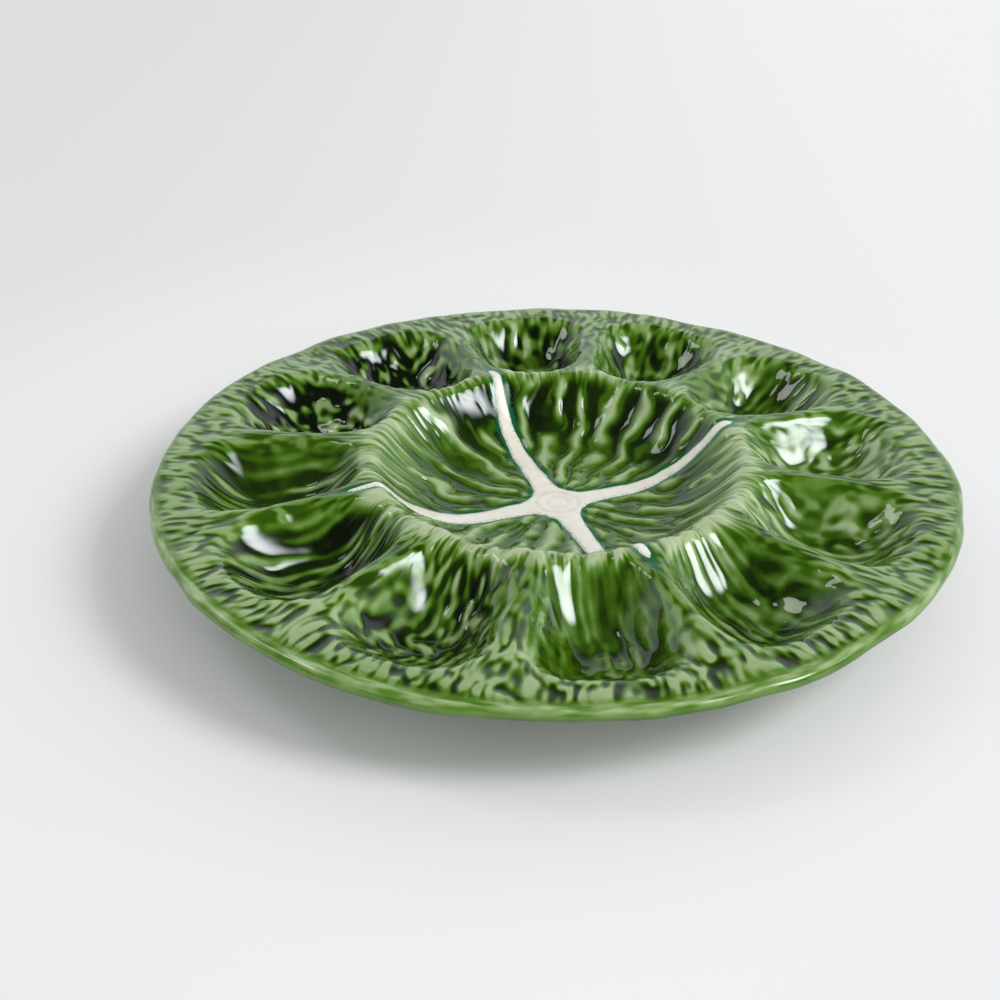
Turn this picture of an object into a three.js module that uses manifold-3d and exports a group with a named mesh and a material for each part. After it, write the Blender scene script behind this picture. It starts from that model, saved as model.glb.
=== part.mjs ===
// Round egg platter in glazed earthenware: a leaf-ribbed centre dish, a ring of egg wells and a flat rim.
// The ware is a pressed clay body on a luted foot ring, under three fired coats of glaze:
// ivory over the leaf ribs and their hub, green over the rest of the front and round the lip to the foot,
// and a green disc in the recess inside the foot.
// Millimetres, +Z up, origin on the table under the middle of the foot ring, one leaf rib along +X.

import * as THREE from "three";
import { mergeVertices } from "three/addons/utils/BufferGeometryUtils.js";
import Module from "manifold-3d";

const wasm = await Module();
wasm.setup();

// Driving dimensions

const RIM_RADIUS = 165;
const RIM_HEIGHT = 34;
const RIM_BAND = 14;
const WALL = 6;

const FLOOR_RADIUS = 30;
const FLOOR_HEIGHT = 13;
const BOWL_POWER = 2.5;
const CREST_RADIUS = 76;
const CREST_HEIGHT = 37;
const CREST_HALF_WIDTH = 3;

const WELL_COUNT = 12;
const WELL_FLOOR_HEIGHT = 15.5;
const PARTITION_WIDTH = 3;
const WELL_SQUARENESS = 3;
const WELL_EDGE_SOFTNESS = 1.8;

const RIB_COUNT = 4;
const RIB_REACH = 90;
const RIB_RISE = 1.5;
const RIB_HALF_WIDTH_AT_HUB = 5.2;
const RIB_HALF_WIDTH_AT_TIP = 1.8;
const HUB_RADIUS = 13;
const HUB_RISE = 2;
const HUB_EDGE_RISE = 1.2;

const FOOT_RADIUS = 57;
const FOOT_WIDTH = 7;
const FOOT_CHAMFER = 1;

const GLAZE = 0.8;
const SEAT_GAP = 0.3;
const RIDGE_WALL = 10;
const BACK_GROOVE_SHARE = 0.8;

// Sizes that follow from the driving ones

const LIP = WALL / 2;
const EDGE_RADIUS = RIM_RADIUS - LIP;
const WELL_IN = CREST_RADIUS + CREST_HALF_WIDTH;
const WELL_OUT = RIM_RADIUS - RIM_BAND;
const WELL_MID = (WELL_IN + WELL_OUT) / 2;
const WELL_HALF_LENGTH = (WELL_OUT - WELL_IN) / 2;
const HALF_SECTOR = Math.PI / WELL_COUNT;
const WELL_HALF_ANGLE = HALF_SECTOR - PARTITION_WIDTH / 2 / WELL_MID;
const BACK_FLOOR = FLOOR_HEIGHT - WALL;
const FOOT_INNER_RADIUS = FOOT_RADIUS - FOOT_WIDTH;

// Height laws of the front and the back, in polar coordinates about the middle

const smooth = THREE.MathUtils.smoothstep;
const mix = THREE.MathUtils.lerp;

// Angle from the middle of the nearest well, between -HALF_SECTOR and HALF_SECTOR
function angleInSector(angle) {
  const sector = 2 * HALF_SECTOR;
  return angle - sector * Math.floor(angle / sector) - HALF_SECTOR;
}

// The partitions fall a little from the dish's crest to the rim
function ridgeHeight(radius) {
  return mix(CREST_HEIGHT, RIM_HEIGHT, smooth(radius, CREST_RADIUS, WELL_OUT));
}

// 1 in the middle of an egg well, 0 on its outline and beyond
function wellShare(radius, angle) {
  const across = Math.abs(angleInSector(angle) / WELL_HALF_ANGLE);
  const along = Math.abs((radius - WELL_MID) / WELL_HALF_LENGTH);
  const reach = across ** WELL_SQUARENESS + along ** WELL_SQUARENESS;
  return Math.max(0, 1 - reach) ** WELL_EDGE_SOFTNESS;
}

// The dish is a bowl that gets steeper from its flat floor up to the crest
function dishHeight(radius) {
  const climb = Math.max(0, radius - FLOOR_RADIUS) / (CREST_RADIUS - FLOOR_RADIUS);
  return mix(FLOOR_HEIGHT, CREST_HEIGHT, climb ** BOWL_POWER);
}

function frontHeight(radius, angle) {
  if (radius <= CREST_RADIUS) return dishHeight(radius);
  return mix(ridgeHeight(radius), WELL_FLOOR_HEIGHT, wellShare(radius, angle));
}

// The back follows the front a wall below it, with shallower grooves under the crest and the partitions
function backHeight(radius, angle) {
  const underCrest = CREST_HEIGHT - RIDGE_WALL;
  const underWell = WELL_FLOOR_HEIGHT - WALL;
  const underRim = RIM_HEIGHT - WALL;
  const dish = mix(BACK_FLOOR, underCrest, smooth(radius, FOOT_RADIUS + SEAT_GAP, CREST_RADIUS));
  const bulge = mix(dish, underWell, smooth(radius, CREST_RADIUS, WELL_MID - WELL_HALF_LENGTH / 3));
  const line = mix(bulge, underRim, smooth(radius, WELL_MID + LIP, EDGE_RADIUS));
  if (radius <= CREST_RADIUS) return line;
  const nearness = 0.5 - 0.5 * Math.cos((Math.PI * angleInSector(angle)) / HALF_SECTOR);
  const room = Math.max(0, ridgeHeight(radius) - RIDGE_WALL - line);
  return line + BACK_GROOVE_SHARE * nearness ** 2 * room;
}

// The skin of the platter as stations, from the middle of the front, round the lip, to the middle of the back.
// A station gives the radius and height of the skin at an angle, or of a layer at some depth under it.

const frontStation = (radius) => (angle, depth) => [radius, frontHeight(radius, angle) - depth];
const backStation = (radius) => (angle, depth) => [radius, backHeight(radius, angle) + depth];
const lipStation = (turn) => (angle, depth) => [
  EDGE_RADIUS + (LIP - depth) * Math.cos(turn),
  RIM_HEIGHT - LIP + (LIP - depth) * Math.sin(turn),
];

// Even steps from one value to another, without the first
function steps(from, to, count) {
  return Array.from({ length: count }, (_, i) => mix(from, to, (i + 1) / count));
}

const FRONT_RADII = [
  0,
  ...steps(0, FLOOR_RADIUS, 2),
  ...steps(FLOOR_RADIUS, CREST_RADIUS, 6),
  WELL_IN,
  ...steps(WELL_IN, WELL_OUT, 8),
  EDGE_RADIUS,
];
const OUTER_BACK_RADII = [
  ...steps(EDGE_RADIUS, WELL_MID, 4),
  ...steps(WELL_MID, CREST_RADIUS, 3),
  ...steps(CREST_RADIUS, FOOT_RADIUS + SEAT_GAP, 2),
];
const RECESS_RADII = [FOOT_INNER_RADIUS - SEAT_GAP, 0];
const LIP_TURNS = steps(Math.PI / 2, -Math.PI / 2, 4);

const OUTER_STATIONS = [
  ...FRONT_RADII.map(frontStation),
  ...LIP_TURNS.map(lipStation),
  ...OUTER_BACK_RADII.map(backStation),
];
const RECESS_STATIONS = RECESS_RADII.map(backStation);

// Column angles crowd towards the partitions, where the surface turns fastest
const COLUMN_SHARES = [-1, -0.82, -0.5, 0, 0.5, 0.82];
const COLUMN_ANGLES = Array.from({ length: WELL_COUNT }, (_, well) =>
  COLUMN_SHARES.map((share) => (2 * well + 1 + share) * HALF_SECTOR),
).flat();

// Surfaces and solids

// A closed surface through loops of points, in an order that runs round the outside of the piece.
// The loop direction is to the left of the order, seen from outside. A loop of one point is a pole.
// Each quad is split along its shorter diagonal, so layers over one another are split alike.
function closedSurface(loops) {
  const points = [];
  const starts = loops.map((loop) => points.push(...loop) - loop.length);
  const distance = (a, b) => Math.hypot(...points[a].map((value, axis) => value - points[b][axis]));
  const triangles = [];
  loops.forEach((loop, i) => {
    const next = (i + 1) % loops.length;
    const here = (column) => starts[i] + (column % loop.length);
    const there = (column) => starts[next] + (column % loops[next].length);
    const columns = Math.max(loop.length, loops[next].length);
    for (let j = 0; j < columns; j++) {
      const [a, b, c, d] = [here(j), there(j), there(j + 1), here(j + 1)];
      const splitsForward = distance(a, c) < distance(b, d);
      const halves = splitsForward ? [[a, b, c], [a, c, d]] : [[a, b, d], [d, b, c]];
      triangles.push(...halves.filter((half) => new Set(half).size === 3));
    }
  });
  const geometry = new THREE.BufferGeometry();
  geometry.setAttribute("position", new THREE.Float32BufferAttribute(points.flat(), 3));
  geometry.setIndex(triangles.flat());
  return geometry;
}

// A ring of points, one at every column angle, or a single point on the axis
function ringLoop(place) {
  const points = COLUMN_ANGLES.map((angle) => {
    const [radius, height] = place(angle);
    return [radius * Math.cos(angle), radius * Math.sin(angle), height];
  });
  const [firstRadius] = place(0);
  return firstRadius === 0 ? points.slice(0, 1) : points;
}

function layer(stations, depth) {
  return stations.map((station) => ringLoop((angle) => station(angle, depth)));
}

// A turned piece through radius and height pairs, listed outwards along its top and back under it
function turned(profile) {
  return closedSurface(profile.map((pair) => ringLoop(() => pair)));
}

// All of the platter under its skin, to a depth
function core(depth) {
  return closedSurface(layer([...OUTER_STATIONS, ...RECESS_STATIONS], depth));
}

// A coat of glaze on the skin, along some of its stations
function coat(stations) {
  return closedSurface([...layer(stations, 0), ...layer(stations, GLAZE).reverse()]);
}

function toSolid(geometry) {
  const bare = new THREE.BufferGeometry();
  bare.setAttribute("position", geometry.getAttribute("position"));
  bare.setIndex(geometry.getIndex());
  const merged = mergeVertices(bare, 1e-4);
  const vertProperties = merged.getAttribute("position").array;
  const triVerts = new Uint32Array(merged.getIndex().array);
  return new wasm.Manifold(new wasm.Mesh({ numProp: 3, vertProperties, triVerts }));
}

function fromSolid(solid) {
  const mesh = solid.getMesh();
  const geometry = new THREE.BufferGeometry();
  geometry.setAttribute("position", new THREE.BufferAttribute(mesh.vertProperties, 3));
  geometry.setIndex(new THREE.BufferAttribute(mesh.triVerts, 1));
  return geometry;
}

// Leaf ribs and hub: ivory bars that climb from the hub over the crest, rounded on top and rooted in the wall.
// Each has a bed in the green coat: the same bar or hub with room round it, lifted clear of the skin.

const RIB_ANGLES = Array.from({ length: RIB_COUNT }, (_, i) => (i * 2 * Math.PI) / RIB_COUNT);
const RIB_SHARES = [-1, -0.6, 0, 0.6, 1];

// Section of the rib along +X at a distance: the rounded top from right to left, then the root back again
function ribSection(distance, room, lift) {
  const halfWidth = room + mix(RIB_HALF_WIDTH_AT_HUB, RIB_HALF_WIDTH_AT_TIP, distance / RIB_REACH);
  const skinHeight = (side) => frontHeight(Math.hypot(distance, side), Math.atan2(side, distance));
  const rise = RIB_RISE * (1 - smooth(distance, CREST_RADIUS, RIB_REACH));
  const top = RIB_SHARES.map((share) => {
    const side = share * halfWidth;
    return [distance, side, skinHeight(side) + lift + rise * (1 - share ** 2)];
  });
  const root = [halfWidth, -halfWidth].map((side) => [distance, side, skinHeight(side) - LIP]);
  return [...top, ...root];
}

function rib(angle, room, lift) {
  const reach = RIB_REACH + room;
  const distances = [
    0,
    ...steps(0, FLOOR_RADIUS, 3),
    ...steps(FLOOR_RADIUS, CREST_RADIUS, 6),
    ...steps(CREST_RADIUS, reach, 3),
  ];
  const sections = distances.map((distance) => ribSection(distance, room, lift));
  const tail = [[0, 0, FLOOR_HEIGHT]];
  const tip = [[reach, 0, frontHeight(reach, 0)]];
  return closedSurface([tail, ...sections, tip]).rotateZ(angle);
}

function hub(room, lift) {
  const radius = HUB_RADIUS + room;
  return turned([
    [0, FLOOR_HEIGHT + lift + HUB_RISE],
    [radius / 2, FLOOR_HEIGHT + lift + HUB_RISE],
    [radius - HUB_EDGE_RISE, FLOOR_HEIGHT + lift + HUB_EDGE_RISE],
    [radius, FLOOR_HEIGHT + lift],
    [radius, FLOOR_HEIGHT - LIP],
    [0, FLOOR_HEIGHT - LIP],
  ]);
}

function ribsAndHub(room, lift) {
  const ribs = RIB_ANGLES.map((angle) => toSolid(rib(angle, room, lift)));
  return ribs.reduce((all, one) => all.add(one), toSolid(hub(room, lift)));
}

const ivory = ribsAndHub(0, 0).subtract(toSolid(core(GLAZE)));
const green = toSolid(coat(OUTER_STATIONS)).subtract(ribsAndHub(SEAT_GAP, WALL));

// Foot ring: bare clay, luted under the dish, its lower edges taken off

const footTop = BACK_FLOOR + GLAZE;
const footRing = turned([
  [FOOT_INNER_RADIUS, footTop],
  [FOOT_RADIUS, footTop],
  [FOOT_RADIUS, FOOT_CHAMFER],
  [FOOT_RADIUS - FOOT_CHAMFER, 0],
  [FOOT_INNER_RADIUS + FOOT_CHAMFER, 0],
  [FOOT_INNER_RADIUS, FOOT_CHAMFER],
]);

// The pieces

const clay = new THREE.MeshStandardMaterial({ color: 0xd8c8a8, roughness: 0.85 });
const greenGlaze = new THREE.MeshStandardMaterial({ color: 0x587a30, roughness: 0.12 });
const ivoryGlaze = new THREE.MeshStandardMaterial({ color: 0xe4e0cf, roughness: 0.12 });

const platter = new THREE.Group();

function addPiece(name, geometry, material) {
  const mesh = new THREE.Mesh(geometry, material);
  mesh.name = name;
  platter.add(mesh);
}

addPiece("clay_body", core(GLAZE + SEAT_GAP), clay);
addPiece("foot_ring", footRing, clay);
addPiece("green_glaze", fromSolid(green), greenGlaze);
addPiece("recess_glaze", coat(RECESS_STATIONS), greenGlaze);
addPiece("ivory_glaze", fromSolid(ivory), ivoryGlaze);

export default platter;
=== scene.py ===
import math

import bpy
from mathutils import Matrix, Vector


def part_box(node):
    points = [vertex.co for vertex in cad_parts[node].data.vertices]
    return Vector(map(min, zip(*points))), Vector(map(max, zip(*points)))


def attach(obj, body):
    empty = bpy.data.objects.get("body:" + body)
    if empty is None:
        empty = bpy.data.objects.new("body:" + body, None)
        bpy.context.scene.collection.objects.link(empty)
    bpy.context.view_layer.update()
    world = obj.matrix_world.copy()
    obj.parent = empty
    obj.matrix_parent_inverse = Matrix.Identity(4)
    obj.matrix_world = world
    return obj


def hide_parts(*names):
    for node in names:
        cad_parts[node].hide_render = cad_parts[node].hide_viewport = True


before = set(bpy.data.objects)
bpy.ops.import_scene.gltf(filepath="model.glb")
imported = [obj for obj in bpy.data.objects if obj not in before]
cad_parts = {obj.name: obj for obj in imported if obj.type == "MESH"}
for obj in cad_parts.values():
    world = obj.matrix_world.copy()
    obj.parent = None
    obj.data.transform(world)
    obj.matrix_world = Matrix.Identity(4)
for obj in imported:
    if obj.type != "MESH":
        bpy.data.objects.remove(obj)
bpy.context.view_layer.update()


# Camera
# It looks down on the platter from in front and a little to the left, tipped slightly,
# with the platter right of the middle of the picture and a pale table all round it.

# In metres, apart from lens and sensor. The shifts are shares of the picture's width.
VIEW_AZIMUTH = math.radians(-23)
VIEW_ELEVATION = math.radians(28.67)
VIEW_ROLL = math.radians(1.26)
VIEW_DISTANCE = 0.577
AIM_HEIGHT = 0.034
LENS_IN_MM = 49.79
SENSOR_IN_MM = 36
SHIFT_ACROSS = -0.0577
SHIFT_UP = -0.0404

outward = Vector((
    math.sin(VIEW_AZIMUTH) * math.cos(VIEW_ELEVATION),
    -math.cos(VIEW_AZIMUTH) * math.cos(VIEW_ELEVATION),
    math.sin(VIEW_ELEVATION),
))
level_right = Vector((math.cos(VIEW_AZIMUTH), math.sin(VIEW_AZIMUTH), 0))
level_up = outward.cross(level_right)
right = level_right * math.cos(VIEW_ROLL) + level_up * math.sin(VIEW_ROLL)
up = outward.cross(right)
eye = Vector((0, 0, AIM_HEIGHT)) + outward * VIEW_DISTANCE

camera_data = bpy.data.cameras.new("camera")
camera_data.sensor_width = SENSOR_IN_MM
camera_data.lens = LENS_IN_MM
camera_data.shift_x = SHIFT_ACROSS
camera_data.shift_y = SHIFT_UP
camera_data.clip_start = 0.01
camera = bpy.data.objects.new("camera", camera_data)
camera.matrix_world = Matrix((
    (right.x, up.x, outward.x, eye.x),
    (right.y, up.y, outward.y, eye.y),
    (right.z, up.z, outward.z, eye.z),
    (0, 0, 0, 1),
))
bpy.context.collection.objects.link(camera)
bpy.context.scene.camera = camera
bpy.context.scene.view_settings.view_transform = "Standard"


# Platter: the pressed clay under its green glaze
# One round pressing of earthenware with a deep dish, a ring of egg wells, a rim and a rounded lip,
# all in cabbage-leaf relief. Runny green glaze is thin on the ridges and pools in the hollows.

MM = 0.001


class Field:
    """A value that changes over a surface, written as plain sums and kept as nodes."""

    def __init__(self, tree, socket):
        self.tree = tree
        self.socket = socket

    def math(self, operation, *others):
        node = self.tree.nodes.new("ShaderNodeMath")
        node.operation = operation
        for slot, value in zip(node.inputs, (self, *others)):
            plug(slot, value)
        return Field(self.tree, node.outputs[0])

    def shifted(self, other):
        node = self.tree.nodes.new("ShaderNodeVectorMath")
        node.operation = "ADD"
        plug(node.inputs[0], self)
        plug(node.inputs[1], other)
        return Field(self.tree, node.outputs[0])

    def scaled(self, factor):
        node = self.tree.nodes.new("ShaderNodeVectorMath")
        node.operation = "SCALE"
        plug(node.inputs[0], self)
        plug(node.inputs["Scale"], factor)
        return Field(self.tree, node.outputs[0])

    def parts(self):
        node = self.tree.nodes.new("ShaderNodeSeparateXYZ")
        plug(node.inputs[0], self)
        return [Field(self.tree, socket) for socket in node.outputs]

    def larger(self, other):
        return self.math("MAXIMUM", other)

    def __add__(self, other):
        return self.math("ADD", other)

    __radd__ = __add__

    def __sub__(self, other):
        return self.math("SUBTRACT", other)

    def __rsub__(self, other):
        return self.math("MULTIPLY_ADD", -1.0, other)

    def __mul__(self, other):
        return self.math("MULTIPLY", other)

    __rmul__ = __mul__

    def __truediv__(self, other):
        return self.math("DIVIDE", other)

    def __pow__(self, other):
        return self.math("POWER", other)

    def __abs__(self):
        return self.math("ABSOLUTE")


def plug(slot, value):
    """Feeds a socket with a field, or sets it to a plain value."""
    if isinstance(value, Field):
        value.tree.links.new(value.socket, slot)
    else:
        slot.default_value = value


def ramp(field, low, high, kind="SMOOTHSTEP"):
    """0 up to the low value, 1 from the high one on; the other way round where low is the larger."""
    node = field.tree.nodes.new("ShaderNodeMapRange")
    node.interpolation_type = kind
    plug(node.inputs["Value"], field)
    plug(node.inputs["From Min"], low)
    plug(node.inputs["From Max"], high)
    return Field(field.tree, node.outputs["Result"])


def mix(first, second, share):
    """The first value where the share is 0, the second where it is 1."""
    return share * (second - first) + first


def vector(tree, x, y, z):
    node = tree.nodes.new("ShaderNodeCombineXYZ")
    for slot, value in zip(node.inputs, (x, y, z)):
        plug(slot, value)
    return Field(tree, node.outputs[0])


def from_middle(x, y):
    """Distance of a place from the point that its x and y are counted from."""
    return (x * x + y * y).math("SQRT")


def noise_node(place, scale, detail):
    node = place.tree.nodes.new("ShaderNodeTexNoise")
    node.noise_dimensions = "3D"
    plug(node.inputs["Vector"], place)
    plug(node.inputs["Scale"], scale)
    plug(node.inputs["Detail"], detail)
    node.inputs["Roughness"].default_value = 0.45
    return node


def noise(place, scale=1.0, detail=1.0):
    """Soft lumps about two units of the scaled place apart, mostly between -0.2 and 0.2."""
    return Field(place.tree, noise_node(place, scale, detail).outputs["Fac"]) - 0.5


def drift(place, scale):
    """The same lumps as a direction, for bending a pattern."""
    lumps = Field(place.tree, noise_node(place, scale, detail=1.0).outputs["Color"])
    return lumps.shifted((-0.5, -0.5, -0.5))


def new_tree(name, sizes):
    """A geometry tree with a named input for each size, and the sizes as fields."""
    tree = bpy.data.node_groups.new(name, "GeometryNodeTree")
    tree.interface.new_socket("Geometry", in_out="OUTPUT", socket_type="NodeSocketGeometry")
    for label in sizes:
        tree.interface.new_socket(label, in_out="INPUT", socket_type="NodeSocketFloat")
    source = tree.nodes.new("NodeGroupInput")
    return tree, {label: Field(tree, source.outputs[label]) for label in sizes}


def step(tree, kind, geometry, **inputs):
    """Adds one geometry node after another and returns its geometry."""
    node = tree.nodes.new(kind)
    tree.links.new(geometry, node.inputs[0])
    for label, value in inputs.items():
        plug(node.inputs[label], value)
    return node.outputs[0]


def grid(tree, width, depth, columns, rows):
    """A flat sheet of points to bend into a piece."""
    node = tree.nodes.new("GeometryNodeMeshGrid")
    settings = {"Size X": width, "Size Y": depth, "Vertices X": columns + 1, "Vertices Y": rows + 1}
    for label, value in settings.items():
        node.inputs[label].default_value = value
    return node.outputs["Mesh"]


def keep(tree, geometry, name, value, kind="FLOAT"):
    """Stores a field on the points, under a name that later steps and the finish read."""
    node = tree.nodes.new("GeometryNodeStoreNamedAttribute")
    node.data_type = kind
    node.domain = "POINT"
    node.inputs["Name"].default_value = name
    tree.links.new(geometry, node.inputs["Geometry"])
    plug(node.inputs["Value"], value)
    return node.outputs[0]


def kept(tree, name):
    """Reads a field that was stored on the points."""
    node = tree.nodes.new("GeometryNodeInputNamedAttribute")
    node.data_type = "FLOAT"
    node.inputs["Name"].default_value = name
    return Field(tree, node.outputs["Attribute"])


def point_place(tree):
    node = tree.nodes.new("GeometryNodeInputPosition")
    return Field(tree, node.outputs[0]).parts()


def round_place(angle, radius, height):
    """A place in metres from an angle round the platter and a radius and height in millimetres."""
    x = angle.math("COSINE") * radius * MM
    y = angle.math("SINE") * radius * MM
    return vector(angle.tree, x, y, height * MM)


def make_piece(name, tree, geometry, material, sizes):
    """Ends a tree, runs it once at its sizes and keeps the result as a plain mesh."""
    realised = step(tree, "GeometryNodeRealizeInstances", geometry)
    finished = step(tree, "GeometryNodeSetMaterial", realised, Material=material)
    tree.links.new(finished, tree.nodes.new("NodeGroupOutput").inputs[0])
    piece = bpy.data.objects.new(name, bpy.data.meshes.new(name))
    bpy.context.collection.objects.link(piece)
    modifier = piece.modifiers.new(name, "NODES")
    modifier.node_group = tree
    for item in tree.interface.items_tree:
        if item.in_out == "INPUT":
            modifier[item.identifier] = float(sizes[item.name])
    graph = bpy.context.evaluated_depsgraph_get()
    shaped = piece.evaluated_get(graph)
    mesh = bpy.data.meshes.new_from_object(shaped, preserve_all_data_layers=True, depsgraph=graph)
    mesh.name = name
    piece.modifiers.remove(modifier)
    piece.data = mesh
    return piece


# Form of the platter, in millimetres. Angles are counted from +X, where one of the ribs runs.

_, glaze_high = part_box("green_glaze")
PLATTER_SIZES = {
    "Rim radius": glaze_high[0] / MM,
    "Crest height": glaze_high[2] / MM,
    "Rim height": 34,
    "Rim band": 14,
    "Wall": 6,
    "Lip radius": 2.6,
    "Floor radius": 30,
    "Floor height": 13,
    "Crest radius": 76,
    "Crest half width": 3,
    "Well floor height": 15.5,
    "Partition width": 3,
    "Foot radius": 57,
    "Ridge wall": 10,
    "Rib reach": 92,
    "Rib rise": 0.5,
    "Rib half width at hub": 5.4,
    "Rib half width at tip": 1.5,
    "Hub radius": 11.5,
}
WELL_COUNT = 12
HALF_SECTOR = math.pi / WELL_COUNT
WELL_SQUARENESS = 3
WELL_SOFTNESS = 1.8
BOWL_POWER = 2.5
CREST_ROUNDING = 6
CREST_WAVE = 0.8
CREST_WAVE_REACH = 14
BACK_GROOVE_SHARE = 0.8
HALF_QUARTER = math.pi / 4
RIB_REACH_CHANGE = 4
RIB_TIP_LENGTH = 8
RIB_SWAY = 5.0
RIB_SWELL = 1.8
HUB_BLEND = 8


def angle_in_sector(angle):
    """Angle from the middle of the nearest well."""
    return (angle - HALF_SECTOR).math("WRAP", HALF_SECTOR, -HALF_SECTOR)


def ridge_height(size, radius):
    """The partitions go down in a soft slope from the crest to the rim."""
    fall = ramp(radius, size["Crest radius"], size["Rim radius"] - size["Rim band"])
    return mix(size["Crest height"], size["Rim height"], fall)


def well_middle_and_half(size):
    """Radius at which the wells have their middle, and half their length."""
    inner = size["Crest radius"] + size["Crest half width"]
    outer = size["Rim radius"] - size["Rim band"]
    return (inner + outer) / 2, (outer - inner) / 2


def well_share(size, radius, angle):
    """1 in the middle of an egg well, 0 on its outline and beyond."""
    middle, half_length = well_middle_and_half(size)
    half_angle = HALF_SECTOR - size["Partition width"] / 2 / middle
    across = abs(angle_in_sector(angle) / half_angle)
    along = abs((radius - middle) / half_length)
    return (1 - (across ** WELL_SQUARENESS + along ** WELL_SQUARENESS)).larger(0) ** WELL_SOFTNESS


def front_height(size, radius, angle):
    """The dish is a bowl that gets steeper up to a rounded crest; beyond it the wells go down again."""
    climb = (radius - size["Floor radius"]).larger(0) / (size["Crest radius"] - size["Floor radius"])
    dish = climb ** BOWL_POWER * (size["Crest height"] - size["Floor height"]) + size["Floor height"]
    near_crest = ramp(abs(radius - size["Crest radius"]), CREST_WAVE_REACH, 0)
    crest_wave = (angle * WELL_COUNT).math("COSINE") * near_crest
    rounded = dish.math("SMOOTH_MIN", ridge_height(size, radius), CREST_ROUNDING)
    ridges = rounded + crest_wave * CREST_WAVE
    return mix(ridges, size["Well floor height"], well_share(size, radius, angle))


def back_height(size, radius, angle):
    """The back follows the front a wall below it, with shallower grooves under crest and partitions."""
    middle, half_length = well_middle_and_half(size)
    under_crest = size["Crest height"] - size["Ridge wall"]
    under_well = size["Well floor height"] - size["Wall"]
    under_rim = size["Rim height"] - size["Lip radius"] * 2
    edge = size["Rim radius"] - size["Lip radius"]
    under_floor = size["Floor height"] - size["Wall"]
    dish = mix(under_floor, under_crest, ramp(radius, size["Foot radius"], size["Crest radius"]))
    bulge = mix(dish, under_well, ramp(radius, size["Crest radius"], middle - half_length / 3))
    line = mix(bulge, under_rim, ramp(radius, middle + size["Wall"] / 2, edge))
    near_partition = 0.5 - (angle_in_sector(angle) * (math.pi / HALF_SECTOR)).math("COSINE") * 0.5
    room = (ridge_height(size, radius) - size["Ridge wall"] - line).larger(0)
    outside_crest = radius.math("GREATER_THAN", size["Crest radius"])
    return line + near_partition ** 2 * room * outside_crest * BACK_GROOVE_SHARE


def rib_reach(size, angle):
    """The ribs are drawn by hand, and the one on -X runs out further than the one on +X."""
    return size["Rib reach"] - angle.math("COSINE") * RIB_REACH_CHANGE


def rib_gap(size, radius, angle):
    """Distance from the edge of the nearest ivory rib or the hub, negative inside."""
    tree = radius.tree
    off_rib = angle.math("WRAP", HALF_QUARTER, -HALF_QUARTER)
    along = radius * off_rib.math("COSINE")
    beside = radius * off_rib.math("SINE")

    # Each rib sways and swells in its own way, and its two edges swell apart from each other
    which = (angle / (2 * HALF_QUARTER)).math("ROUND")
    sway = noise(vector(tree, along / 34, which * 3.7, 0.0)) * ramp(along, 14, 60) * RIB_SWAY
    swell = noise(vector(tree, along / 9, which * 5.1, beside.math("SIGN") * 2.0)) * RIB_SWELL

    reach = rib_reach(size, angle)
    taper = along / reach
    half_width = mix(size["Rib half width at hub"], size["Rib half width at tip"], taper) + swell
    past_tip = (along - reach + RIB_TIP_LENGTH).larger(0) * 0.3
    rib = abs(beside - sway) - half_width + past_tip
    return rib.math("SMOOTH_MIN", radius - size["Hub radius"], HUB_BLEND)


# Leaf relief: veins in the dish, pleats over crest and rim, ridges and blisters in the wells

VEIN_SPREAD = 0.45
VEINS_PER_EIGHTH = 4
FAR_SIDE = math.radians(60)
# Side of the crest where a painted sheen is strongest, towards the window
WINDOW_SHEEN_SIDE = math.radians(-38)
DISH_EDGE_BLEND = 4
POOL_WIDTH = 0.88
POOL_SQUARENESS = 2.6
PATCH_SHIFT_X = -3
PATCH_SHIFT_Y = 20
PATCH_LEVEL = 0.4

# One value for each well, counted from +X towards +Y
BLISTER_SHARES = (0.3, 0.6, 0.6, 0.9, 1.0, 0.0, 0.1, 0.9, 0.3, 0.3, 0.6, 0.8)
RIDGE_STRENGTHS = (1.0, 1.0, 1.0, 1.0, 1.0, 0.8, 0.9, 1.0, 0.9, 0.9, 1.25, 1.25)
GLAZE_IN_WELLS = (0.82, 0.98, 1.02, 1.45, 1.5, 0.85, 1.0, 1.0, 0.85, 0.85, 0.76, 0.76)
SMOOTH_SHARES = (0.1, 0.0, 0.0, 0.1, 0.2, 0.5, 0.6, 0.9, 0.8, 0.5, 0.6, 0.7)


def by_well(angle, values):
    """The value of the well in whose sector an angle lies."""
    node = angle.tree.nodes.new("ShaderNodeValToRGB")
    node.color_ramp.interpolation = "CONSTANT"
    elements = node.color_ramp.elements
    while len(elements) < WELL_COUNT:
        elements.new(0.5)
    for number, (element, value) in enumerate(zip(elements, values)):
        element.position = number / WELL_COUNT
        element.color = (value, value, value, 1)
    turn = (angle / (2 * math.pi)).math("FRACT")
    plug(node.inputs["Fac"], turn)
    return Field(angle.tree, node.outputs["Color"])


def veins(phase, spacing, along, width, seed, breaks=(-0.08, 0.05)):
    """Ridges on the whole numbers of a phase, each broken off and swelling in its own places."""
    number = phase.math("ROUND")
    run = vector(phase.tree, number * 3.17 + seed, along, 0.0)
    present = ramp(noise(run), *breaks)
    swell = noise(run, 2.3) * 1.8 + 1.0
    return ramp(abs(phase - number) * spacing / (swell * width), 1.0, 0.0) * present


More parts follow.
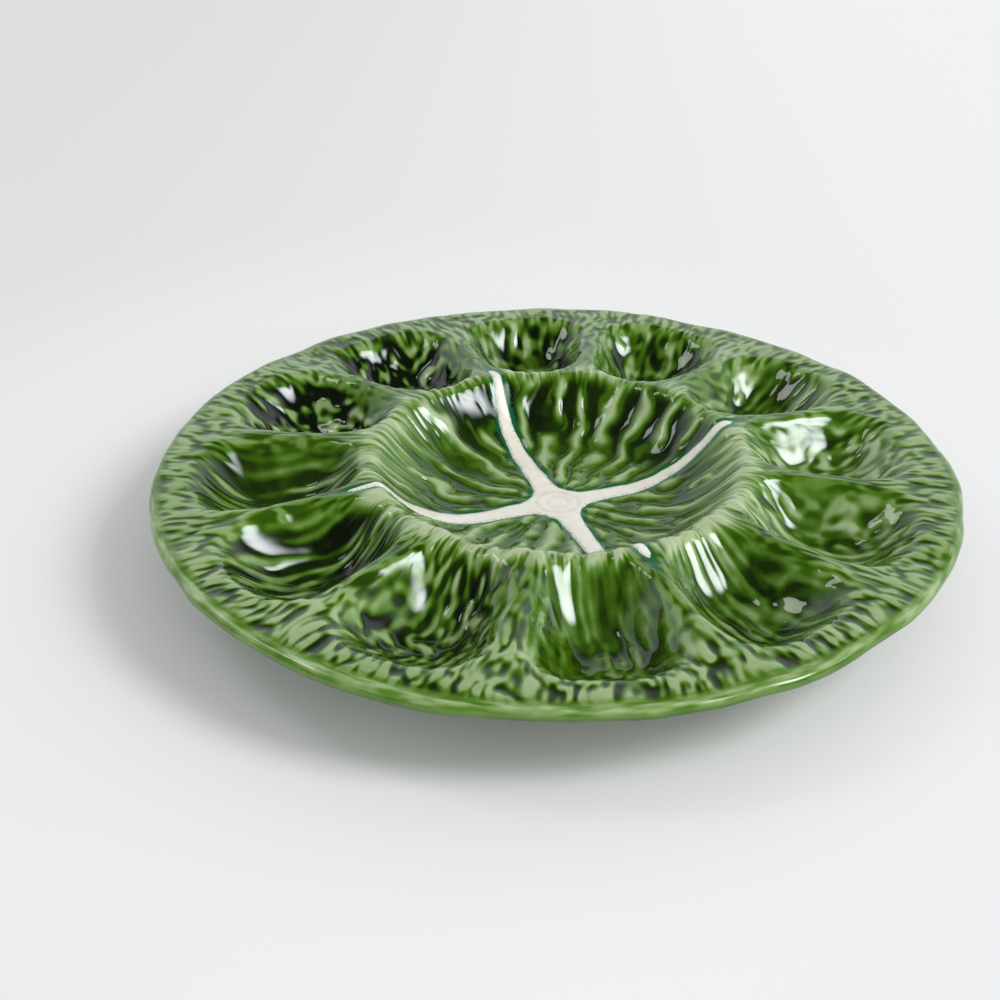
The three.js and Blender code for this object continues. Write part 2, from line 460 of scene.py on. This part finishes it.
def leaf_pattern(size, x, y):
    """Height of the relief, 0 to 1, the depth of glaze over it and the distance from the ivory ribs."""
    tree = x.tree
    plan = vector(tree, x, y, 0.0)
    radius = from_middle(x, y)
    angle = y.math("ARCTAN2", x)
    cosine = angle.math("COSINE")
    sine = angle.math("SINE")
    bend = drift(plan, 1 / 24)

    def facing(direction):
        """1 where the platter faces a direction, -1 on the opposite side."""
        return cosine * math.cos(direction) + sine * math.sin(direction)

    def folds(closeness, length, bending, start=0.0):
        """Lumps that run outwards: about three times their closeness round the platter, and bent."""
        straight = vector(tree, cosine * closeness, sine * closeness, radius / length)
        return noise(straight.shifted(bend.scaled(bending)).shifted((0, 0, start)), detail=0.0)

    # Where the dish, the wells and the ridges between them lie
    far_side = facing(FAR_SIDE)
    crest_radius = size["Crest radius"]
    in_dish = ramp(radius, crest_radius + DISH_EDGE_BLEND, crest_radius - DISH_EDGE_BLEND)
    middle, half_length = well_middle_and_half(size)
    narrowing = ramp(radius, 122, 82) * ramp(far_side, -0.1, 0.4) * 0.35
    across_well = abs(angle_in_sector(angle)) / ((1 - narrowing) * (HALF_SECTOR * POOL_WIDTH))
    along_well = abs(radius - middle) / half_length
    in_well = ramp(across_well ** POOL_SQUARENESS + along_well ** POOL_SQUARENESS, 1.0, 0.55)
    in_well = in_well * (1 - in_dish)
    on_top = 1 - in_dish - in_well

    # The crest is pleated, and lumpy at the front; the rim has short close pleats
    crest_folds = folds(closeness=24, length=40, bending=1.6)
    crest_lumps = folds(closeness=17, length=13, bending=2.5)
    crest_pleats = ramp(mix(crest_lumps, crest_folds, ramp(far_side, -0.75, -0.35)), -0.2, 0.24)
    rim_pleats = ramp(folds(closeness=52, length=7.5, bending=3.5), -0.22, 0.14)
    pleats_on_crest = crest_pleats * ramp(radius, 92, 80) * 0.7
    top_relief = pleats_on_crest + rim_pleats * mix(0.5, 0.8, ramp(radius, 100, 140))

    # In each quarter of the dish the veins leave the two ribs at a slant and fan out to the crest,
    # and one quarter has fewer of them
    off_bisector = (angle - HALF_QUARTER).math("WRAP", HALF_QUARTER, -HALF_QUARTER)
    slant = off_bisector * VEIN_SPREAD
    quarter_number = (angle / (2 * HALF_QUARTER)).math("FLOOR")
    reach = (radius / crest_radius) ** VEIN_SPREAD / math.sin(VEIN_SPREAD * HALF_QUARTER)
    sway = noise(plan, 1 / 17) * 1.3
    vein_count = VEINS_PER_EIGHTH - quarter_number.math("COMPARE", 1.0, 0.5)
    across_veins = reach * slant.math("SINE") * vein_count + sway
    along_veins = reach * slant.math("COSINE") * 2.3 + quarter_number * 5.3
    spacing = radius / (reach * vein_count * VEIN_SPREAD)
    main_veins = veins(across_veins, spacing, along_veins, width=4.7, seed=0.4, breaks=(-0.14, 0.02))
    side_veins = veins(across_veins * 2 + 0.5, spacing / 2, along_veins * 1.5, width=2.2, seed=31.7)
    wall_pleats = crest_pleats * ramp(radius, 52, 70) * ramp(far_side, 0.75, 0.2)
    dish_relief = main_veins.larger(side_veins * 0.35).larger(wall_pleats * 0.85)

    # In the wells the ridges run outwards, and break up into blisters in some of them
    blisters = ramp(folds(closeness=33, length=6, bending=2.5), -0.18, 0.26)
    long_ridges = ramp(folds(closeness=33, length=26, bending=2.5, start=9.7), -0.12, 0.26)
    ridges = mix(long_ridges, blisters, by_well(angle, BLISTER_SHARES))
    ridges = ridges * by_well(angle, RIDGE_STRENGTHS)

    # On the far wall of most wells the glaze has run together into a smooth patch
    well_angle = angle - angle_in_sector(angle)
    patch_x = x - PATCH_SHIFT_X - well_angle.math("COSINE") * middle
    patch_y = y - PATCH_SHIFT_Y - well_angle.math("SINE") * middle
    smooth = ramp(from_middle(patch_x, patch_y), 18, 9) * by_well(angle, SMOOTH_SHARES)

    # The lip is plain, and so is a margin beside the ribs
    lip_start = mix(159.5, 161.5, ramp(far_side, -0.8, -0.1))
    on_lip = ramp(radius, lip_start - 2, lip_start + 4)
    gap = rib_gap(size, radius, angle)

    def all_over(well_relief, top_share):
        """Joins the relief of dish, wells and ridges."""
        spread = in_dish * dish_relief + in_well * well_relief + on_top * top_relief * top_share
        return spread * ramp(gap, 0.0, 3.0) * (1 - on_lip)

    relief = all_over(mix(ridges, PATCH_LEVEL, smooth), top_share=0.75)
    mottle = noise(plan, 1 / 8) * 0.4
    thinness = all_over(mix(ridges, PATCH_LEVEL, smooth * 0.4) + mottle, top_share=1.0)

    # Glaze is thin on what stands up, and thick between ridges and in the bottoms of the wells
    dark_wall = ramp(radius, 44, 62) * ramp(far_side, 0.3, 0.8)
    near_front = ramp(far_side, -0.4, -0.85)
    between_veins = dark_wall * 0.25 + 0.72
    between_pleats = mix(0.7, 0.8, ramp(radius, 138, 150)) + near_front * 0.08
    between = in_dish * between_veins + in_well * by_well(angle, GLAZE_IN_WELLS)
    between = between + on_top * between_pleats
    raised = in_dish * 0.06 + in_well * 0.05 + on_top * mix(0.08, -0.05, near_front)
    # The crest is painted paler: partly thin glaze on the ridge, partly a painted sheen that is strongest
    # on the side towards the window
    on_crest = ramp(abs(radius - crest_radius - 2), 10, 0) * ramp(far_side, 0.7, 0.2)
    window_sheen = ramp(facing(WINDOW_SHEEN_SIDE), 0.5, 0.9)
    depth = mix(between, raised, thinness) - on_crest * (window_sheen * 0.15 + 0.15)
    depth = depth + noise(plan, 1 / 40) * 0.3
    lip_streaks = noise(vector(tree, cosine * 14, sine * 14, radius / 2))
    depth = mix(depth, lip_streaks * 1.1 + 0.2, on_lip)
    return relief, depth, gap


FRONT_RINGS = 116
FLOOR_RINGS = 13
LIP_RINGS = 8
BACK_RINGS = 16
LIP_END = FRONT_RINGS + LIP_RINGS
ALL_RINGS = LIP_END + BACK_RINGS
FRONT_FADE_RINGS = 6
COLUMNS = 704
OUT_OF_ROUND = 6
OUT_OF_LEVEL = 5
RELIEF_HEIGHT = 1.25
JOIN_DISTANCE = 0.02

tree, size = new_tree("pressed_platter", PLATTER_SIZES)

# A sheet of rings and columns, bent into the closed skin: front, round the lip, back
across, down, _ = point_place(tree)
angle = across * (-2 * math.pi)
ring = (down + 0.5) * ALL_RINGS
lip = size["Lip radius"]
edge = size["Rim radius"] - lip
floor_share = ramp(ring, 0, FLOOR_RINGS, "LINEAR")
outward_share = ramp(ring, FLOOR_RINGS, FRONT_RINGS, "LINEAR")
lip_share = ramp(ring, FRONT_RINGS, LIP_END, "LINEAR")
inward_share = ramp(ring, LIP_END, ALL_RINGS, "LINEAR")
front_radius = floor_share * size["Floor radius"] + outward_share * (edge - size["Floor radius"])
lip_turn = math.pi / 2 - lip_share * math.pi
back_radius = edge * (1 - inward_share)
on_back = ring.math("GREATER_THAN", LIP_END + 0.01)
radius = mix(front_radius + lip * lip_turn.math("COSINE"), back_radius, on_back)
front_and_lip = front_height(size, front_radius, angle) - lip * (1 - lip_turn.math("SINE"))
height = mix(front_and_lip, back_height(size, back_radius, angle), on_back)

# Hand pressing leaves the rim a little out of round and out of level
around = vector(tree, angle.math("COSINE"), angle.math("SINE"), 0.0)
near_rim = ramp(radius, 105, 165)
radius = radius + noise(around, 4.0) * near_rim * OUT_OF_ROUND
height = height + noise(around.shifted((7, 0, 0)), 4.0) * near_rim * OUT_OF_LEVEL

sheet = grid(tree, 1.0, 1.0, COLUMNS, ALL_RINGS)
skin = keep(tree, sheet, "front", ramp(ring, FRONT_RINGS + FRONT_FADE_RINGS, FRONT_RINGS))
skin = step(tree, "GeometryNodeSetPosition", skin, Position=round_place(angle, radius, height))
skin = step(tree, "GeometryNodeMergeByDistance", skin, Distance=JOIN_DISTANCE * MM)

# The relief stands up along the skin's own direction, a little levelled by the glaze
x, y, _ = point_place(tree)
relief, _, _ = leaf_pattern(size, x / MM, y / MM)
skin = keep(tree, skin, "plan", vector(tree, x / MM, y / MM, kept(tree, "front")), "FLOAT_VECTOR")
skin = keep(tree, skin, "relief", relief * kept(tree, "front"))
blur = tree.nodes.new("GeometryNodeBlurAttribute")
blur.data_type = "FLOAT"
blur.inputs["Iterations"].default_value = 2
plug(blur.inputs[0], kept(tree, "relief"))
levelled = Field(tree, blur.outputs[0])
outwards = Field(tree, tree.nodes.new("GeometryNodeInputNormal").outputs[0])
raising = outwards.scaled(levelled * (RELIEF_HEIGHT * MM))
skin = step(tree, "GeometryNodeSetPosition", skin, Offset=raising)
skin = step(tree, "GeometryNodeSetShadeSmooth", skin)


def paint(red, green, blue):
    """A colour given as it looks on a screen, as the light values that a finish takes."""
    def light(value):
        share = value / 255
        return share / 12.92 if share <= 0.04045 else ((share + 0.055) / 1.055) ** 2.4

    return (light(red), light(green), light(blue), 1)


def new_finish(name, roughness):
    """A material with its main shader, ready for colour and bump."""
    material = bpy.data.materials.new(name)
    material.use_nodes = True
    shader = material.node_tree.nodes["Principled BSDF"]
    shader.inputs["Roughness"].default_value = roughness
    return material, material.node_tree, shader


def attribute(tree, name, output="Fac"):
    """Reads in a finish what was stored on the points."""
    node = tree.nodes.new("ShaderNodeAttribute")
    node.attribute_name = name
    return Field(tree, node.outputs[output])


def colour_ramp(field, stops):
    """Colours along a value, each given with the value where it stands."""
    node = field.tree.nodes.new("ShaderNodeValToRGB")
    elements = node.color_ramp.elements
    while len(elements) < len(stops):
        elements.new(0.5)
    for element, (position, colour) in zip(elements, stops):
        element.position = position
        element.color = colour
    plug(node.inputs["Fac"], field)
    return Field(field.tree, node.outputs["Color"])


def colour_mix(first, second, share):
    """The same as mix, for colours."""
    node = share.tree.nodes.new("ShaderNodeMix")
    node.data_type = "RGBA"
    plug(node.inputs[0], share)
    plug(node.inputs[6], first)
    plug(node.inputs[7], second)
    return Field(share.tree, node.outputs[2])


def bump(height, distance, strength):
    node = height.tree.nodes.new("ShaderNodeBump")
    node.inputs["Strength"].default_value = strength
    node.inputs["Distance"].default_value = distance
    plug(node.inputs["Height"], height)
    return Field(height.tree, node.outputs["Normal"])


# Where a glaze meets another one or bare clay its edge is ragged, in all three finishes

ragged_edge = bpy.data.node_groups.new("ragged_edge", "ShaderNodeTree")
ragged_edge.interface.new_socket("Share", in_out="OUTPUT", socket_type="NodeSocketFloat")
ragged_edge.interface.new_socket("Place", in_out="INPUT", socket_type="NodeSocketVector")
for label in ("Distance", "Fineness", "Detail", "Raggedness", "Start", "End"):
    ragged_edge.interface.new_socket(label, in_out="INPUT", socket_type="NodeSocketFloat")
source = ragged_edge.nodes.new("NodeGroupInput")
given = {socket.name: Field(ragged_edge, socket) for socket in source.outputs}
lumps = noise(given["Place"], given["Fineness"], given["Detail"])
uneven = given["Distance"] + lumps * given["Raggedness"]
share = ramp(uneven, given["Start"], given["End"])
ragged_edge.links.new(share.socket, ragged_edge.nodes.new("NodeGroupOutput").inputs["Share"])


def edge_share(tree, **inputs):
    """Places the ragged edge in a finish: 0 up to the start of a distance, 1 from its end on."""
    node = tree.nodes.new("ShaderNodeGroup")
    node.node_tree = ragged_edge
    for label, value in inputs.items():
        plug(node.inputs[label], value)
    return Field(tree, node.outputs["Share"])


GLAZE_IOR = 1.6

green_glaze, finish, shader = new_finish("green_glaze", roughness=0.06)
shader.inputs["IOR"].default_value = GLAZE_IOR
x, y, on_front = attribute(finish, "plan", "Vector").parts()
plan = vector(finish, x, y, on_front * 20)
relief, depth_on_front, gap = leaf_pattern(PLATTER_SIZES, x, y)
# The back and the lower half of the lip are a deep green: partly the back's own glaze, partly painted
# shade under the lip
back_depth_and_shade = noise(plan, 1 / 30, detail=2.0) * 0.6 + 0.66
streaks = noise(plan, 1 / 4, detail=2.0) * 0.15
depth = mix(back_depth_and_shade, depth_on_front, on_front) + streaks
greens = colour_ramp(depth, [
    (0.0, paint(170, 186, 144)),
    (0.2, paint(136, 161, 104)),
    (0.4, paint(88, 126, 44)),
    (0.6, paint(60, 97, 8)),
    (0.8, paint(32, 54, 4)),
    (1.0, paint(8, 18, 2)),
])

# Beside the ribs the green is bluer, in a ragged fringe
fringe = gap + noise(plan, 1 / 9) * 3
beside_rib = edge_share(
    finish, Place=plan, Distance=fringe, Fineness=1 / 0.8, Detail=2.0, Raggedness=7, Start=2.8, End=0.8,
)
tinted = colour_mix(greens, paint(24, 100, 60), beside_rib * on_front * 0.85)
plug(shader.inputs["Base Color"], tinted)
plug(shader.inputs["Normal"], bump(relief * on_front, distance=RELIEF_HEIGHT * MM, strength=0.15))

platter = make_piece("platter", tree, skin, green_glaze, PLATTER_SIZES)
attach(platter, "root")
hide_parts("clay_body", "green_glaze", "recess_glaze")


# Ivory ribs: the leaf's four main ribs and the hub where they meet
# Part of the same pressing, painted over with thick ivory glaze that stands a little proud.
# Each rib climbs the dish wall, goes over the crest and fades out on a partition.

POINT_SPACING = 0.7
SHEET_WIDTH = 200
RIB_THICKNESS = 1.5
SUNK_DEPTH = 1.2
TRIM_MARGIN = 1.2
FADE_LENGTH = 14
HUB_RINGS = (9, 4.5)


def hub_lines(radius, half_width):
    """1 along the two rings that are scored into the hub, 0 away from them."""
    outer, inner = [ramp(abs(radius - ring_radius), half_width, 0.0) for ring_radius in HUB_RINGS]
    return outer + inner


# A flat sheet is laid on the platter's front, domed, and trimmed to the ribs' outline
tree, size = new_tree("ivory_ribs", PLATTER_SIZES)
x, y, _ = point_place(tree)
radius = from_middle(x, y)
angle = y.math("ARCTAN2", x)
gap = rib_gap(size, radius, angle)
half_width = mix(size["Rib half width at hub"], size["Rib half width at tip"], radius / size["Rib reach"])
inside = ramp(gap / half_width, 0.0, -1.0, "LINEAR")
dome = (1 - (1 - inside) ** 2).math("SQRT") * size["Rib rise"]
sunk = ramp(gap, 0.0, 1.4, "LINEAR") * SUNK_DEPTH
reach = rib_reach(size, angle)
fade = ramp(radius, reach - FADE_LENGTH, reach)
scored = hub_lines(radius, half_width=1.6) * 0.25
top = front_height(size, radius, angle) + dome * (1 - fade) - sunk - fade * 0.4 - scored + 0.1

squares_across = int(SHEET_WIDTH / POINT_SPACING)
sheet = grid(tree, SHEET_WIDTH, SHEET_WIDTH, squares_across, squares_across)
trimmer = tree.nodes.new("GeometryNodeDeleteGeometry")
trimmer.domain = "POINT"
tree.links.new(sheet, trimmer.inputs["Geometry"])
plug(trimmer.inputs["Selection"], gap.math("GREATER_THAN", TRIM_MARGIN))
ribs = keep(tree, trimmer.outputs["Geometry"], "rib_gap", gap)
ribs = keep(tree, ribs, "rib_fade", fade)
ribs = step(tree, "GeometryNodeSetPosition", ribs, Position=vector(tree, x * MM, y * MM, top * MM))

# The sheet gets an underside, so that the ribs are closed all round
thicken = tree.nodes.new("GeometryNodeExtrudeMesh")
thicken.mode = "FACES"
thicken.inputs["Individual"].default_value = False
plug(thicken.inputs["Offset"], vector(tree, 0, 0, -1))
thicken.inputs["Offset Scale"].default_value = RIB_THICKNESS * MM
tree.links.new(ribs, thicken.inputs["Mesh"])
flipped = step(tree, "GeometryNodeFlipFaces", thicken.outputs["Mesh"])
joined = tree.nodes.new("GeometryNodeJoinGeometry")
tree.links.new(ribs, joined.inputs[0])
tree.links.new(flipped, joined.inputs[0])
ribs = step(tree, "GeometryNodeMergeByDistance", joined.outputs[0], Distance=JOIN_DISTANCE * MM)
ribs = step(tree, "GeometryNodeSetShadeSmooth", ribs)


def object_place(tree):
    """Place on the piece, in millimetres."""
    node = tree.nodes.new("ShaderNodeTexCoord")
    return Field(tree, node.outputs["Object"]).scaled(1 / MM)


ivory_glaze, finish, shader = new_finish("ivory_glaze", roughness=0.12)
shader.inputs["IOR"].default_value = GLAZE_IOR
place = object_place(finish)
x, y, _ = place.parts()
mottle = noise(place, 1 / 4, detail=3.0)
cream = colour_ramp(mottle + 0.5, [
    (0.3, paint(232, 225, 212)),
    (0.5, paint(237, 232, 221)),
    (0.7, paint(240, 237, 229)),
])
# The scored hub rings are painted a darker beige, a painted shade in their grooves
ring_groove_shade = hub_lines(from_middle(x, y), half_width=1.2) * 0.5
cream = colour_mix(cream, paint(214, 202, 184), ring_groove_shade * 0.6)

# Green has bled into the edges and over the tips
gap = attribute(finish, "rib_gap")
stained_edge = edge_share(
    finish, Place=place, Distance=gap, Fineness=1 / 0.8, Detail=2.0, Raggedness=5, Start=-1.2, End=0.6,
)
stained_tip = ramp(attribute(finish, "rib_fade") + mottle, 0.25, 0.9)
stained = (stained_edge * 0.7 + stained_tip).math("MINIMUM", 0.85)
cream = colour_mix(cream, paint(126, 172, 136), stained)
plug(shader.inputs["Base Color"], cream)
plug(shader.inputs["Normal"], bump(noise(place, 1 / 5), distance=0.5 * MM, strength=0.3))

ivory_ribs = make_piece("ivory_ribs", tree, ribs, ivory_glaze, PLATTER_SIZES)
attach(ivory_ribs, "root")
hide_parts("ivory_glaze")


# Foot ring: what the platter stands on
# A roll of the same clay luted under the dish and smoothed round, then wiped bare before firing,
# so it shows warm speckled biscuit with some green glaze run down its upper edge.

_, foot_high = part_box("foot_ring")
FOOT_SIZES = {
    "Outer radius": foot_high[0] / MM,
    "Foot width": 7,
    "Foot height": foot_high[2] / MM,
}
FOOT_COLUMNS = 192
FOOT_ROWS = 32
FOOT_ROUNDING = 0.7
BARE_ROUGHNESS = 0.85


def squared(wave):
    """Fills a circle's wave out towards a square's."""
    return wave.math("SIGN") * abs(wave) ** FOOT_ROUNDING


tree, size = new_tree("foot_ring", FOOT_SIZES)
across, down, _ = point_place(tree)
angle = across * (2 * math.pi)
turn = down * (2 * math.pi)
radius = size["Outer radius"] + size["Foot width"] * (squared(turn.math("COSINE")) - 1) * 0.5
height = size["Foot height"] * (squared(turn.math("SINE")) + 1) * 0.5
sheet = grid(tree, 1.0, 1.0, FOOT_COLUMNS, FOOT_ROWS)
foot = step(tree, "GeometryNodeSetPosition", sheet, Position=round_place(angle, radius, height))
foot = step(tree, "GeometryNodeMergeByDistance", foot, Distance=JOIN_DISTANCE * MM)
foot = step(tree, "GeometryNodeSetShadeSmooth", foot)

bare_clay, finish, shader = new_finish("bare_clay", BARE_ROUGHNESS)
place = object_place(finish)
_, _, height = place.parts()
clouds = noise(place, 1 / 7, detail=3.0)
grog = noise(place, 1 / 0.7)
biscuit = colour_ramp(clouds + grog * 0.5 + 0.5, [
    (0.3, paint(178, 150, 114)),
    (0.45, paint(212, 192, 160)),
    (0.7, paint(226, 210, 184)),
])
glaze_run = edge_share(
    finish, Place=place, Distance=height, Fineness=1 / 7, Detail=3.0, Raggedness=8, Start=3.4, End=4.4,
)
plug(shader.inputs["Base Color"], colour_mix(biscuit, paint(72, 104, 26), glaze_run))
plug(shader.inputs["Roughness"], mix(BARE_ROUGHNESS, 0.1, glaze_run))
plug(shader.inputs["Normal"], bump(grog * (1 - glaze_run), distance=0.3 * MM, strength=0.5))

bare_foot = make_piece("bare_foot", tree, foot, bare_clay, FOOT_SIZES)
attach(bare_foot, "root")
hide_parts("foot_ring")


# Table and light
# A plain pale table runs on into a pale wall. A large window on the right lights the platter,
# with a small weak one on the left, and the glaze mirrors a bright wall behind and the window's glow.

# From here on in metres
TABLE_REACH = 6
FAR_WHITE = (0.985, 1.0, 1.0, 1)


def rightwards(x, y):
    """How far to the right a place or a direction lies, as the camera sees it."""
    return x * math.cos(VIEW_AZIMUTH) + y * math.sin(VIEW_AZIMUTH)


def far_shade(to_right):
    """The far table and the wall behind it get lighter towards the window."""
    return mix(0.74, 0.89, ramp(to_right, -0.5, 0.4))


def seen_by(tree, rays):
    """1 for one kind of rays, such as those straight from the camera, and 0 for the rest."""
    node = tree.nodes.new("ShaderNodeLightPath")
    return Field(tree, node.outputs[rays])


table_mesh = bpy.data.meshes.new("table")
corners = [(x * TABLE_REACH, y * TABLE_REACH, 0) for x, y in ((-1, -1), (1, -1), (1, 1), (-1, 1))]
table_mesh.from_pydata(corners, [], [(0, 1, 2, 3)])
table = bpy.data.objects.new("table", table_mesh)
bpy.context.collection.objects.link(table)
table_top, finish, shader = new_finish("table_top", roughness=0.9)
shader.inputs["Base Color"].default_value = (0.87, 0.87, 0.875, 1)
shader.inputs["Specular IOR Level"].default_value = 0.0

# Clear of the platter's shadow, the camera and reflections see the table as painted light, lighter
# towards the window
table_place = finish.nodes.new("ShaderNodeTexCoord")
x, y, _ = Field(finish, table_place.outputs["Object"]).parts()
to_right = rightwards(x, y)
far_table = finish.nodes.new("ShaderNodeEmission")
far_table.inputs["Color"].default_value = FAR_WHITE
plug(far_table.inputs["Strength"], far_shade(to_right))
clear_of_shadow = ramp(from_middle(x, y) + to_right.larger(0) * 0.8, 0.2, 0.45)
seen = seen_by(finish, "Is Camera Ray") + seen_by(finish, "Is Glossy Ray")
table_mix = finish.nodes.new("ShaderNodeMixShader")
plug(table_mix.inputs[0], clear_of_shadow * seen)
finish.links.new(shader.outputs[0], table_mix.inputs[1])
finish.links.new(far_table.outputs[0], table_mix.inputs[2])
finish.links.new(table_mix.outputs[0], finish.nodes["Material Output"].inputs["Surface"])
table_mesh.materials.append(table_top)

LAMP_DISTANCE = 2.4


def bearing(azimuth, elevation):
    """Direction from the platter, its azimuth counted from the camera's line of sight."""
    turn = math.radians(azimuth) - VIEW_AZIMUTH
    level = math.cos(math.radians(elevation))
    return Vector((math.sin(turn) * level, math.cos(turn) * level, math.sin(math.radians(elevation))))


def panel(name, direction, width, tall, energy):
    """A soft light aimed at the platter."""
    data = bpy.data.lights.new(name, "AREA")
    data.shape = "RECTANGLE"
    data.size = width
    data.size_y = tall
    data.energy = energy
    lamp = bpy.data.objects.new(name, data)
    lamp.location = direction * LAMP_DISTANCE
    lamp.rotation_euler = direction.to_track_quat("Z", "Y").to_euler()
    bpy.context.collection.objects.link(lamp)
    return lamp


# The large window's mirror image is a soft glow in the room, so its lamp isn't mirrored
to_window = bearing(azimuth=108, elevation=43)
window = panel("window", to_window, width=0.8, tall=0.95, energy=28)
window.visible_glossy = False
panel("side_window", bearing(azimuth=-75, elevation=52), width=0.5, tall=0.65, energy=4)

GLOW_EDGE = 0.925
GLOW_STRENGTH = 14.5
GLOW_COLOUR = (0.95, 1.0, 1.04, 1)

# The room gives a soft fill, is mirrored as walls and glow, and looks like the far table from the camera
world = bpy.data.worlds.new("room")
bpy.context.scene.world = world
world.use_nodes = True
room = world.node_tree
backdrop = room.nodes["Background"]
sight = room.nodes.new("ShaderNodeTexCoord")
sight_x, sight_y, climb = Field(room, sight.outputs["Generated"]).parts()
to_right = rightwards(sight_x, sight_y)
behind = sight_x * -math.sin(VIEW_AZIMUTH) + sight_y * math.cos(VIEW_AZIMUTH)
towards_window = sight_x * to_window.x + sight_y * to_window.y + climb * to_window.z
bright_wall = ramp(behind, -0.1, 0.4) * ramp(climb, 0.74, 0.48)
glow = ramp(towards_window, GLOW_EDGE, 1.0) ** 2 * GLOW_STRENGTH
mirrored = mix(0.05, 0.85, bright_wall) + glow
front_right = to_right * 0.7 - behind * 0.7
fill = mix(0.75, 1.1, ramp(front_right, -0.2, 0.9)) * mix(1.7, 0.5, ramp(climb, 0.1, 0.8))
seen_in_gloss = seen_by(room, "Is Glossy Ray")
all_but_seen = mix(fill, mirrored, seen_in_gloss)
strength = mix(all_but_seen, far_shade(to_right * TABLE_REACH), seen_by(room, "Is Camera Ray"))
plug(backdrop.inputs["Strength"], strength)
plug(backdrop.inputs["Color"], colour_mix(FAR_WHITE, GLOW_COLOUR, seen_in_gloss))
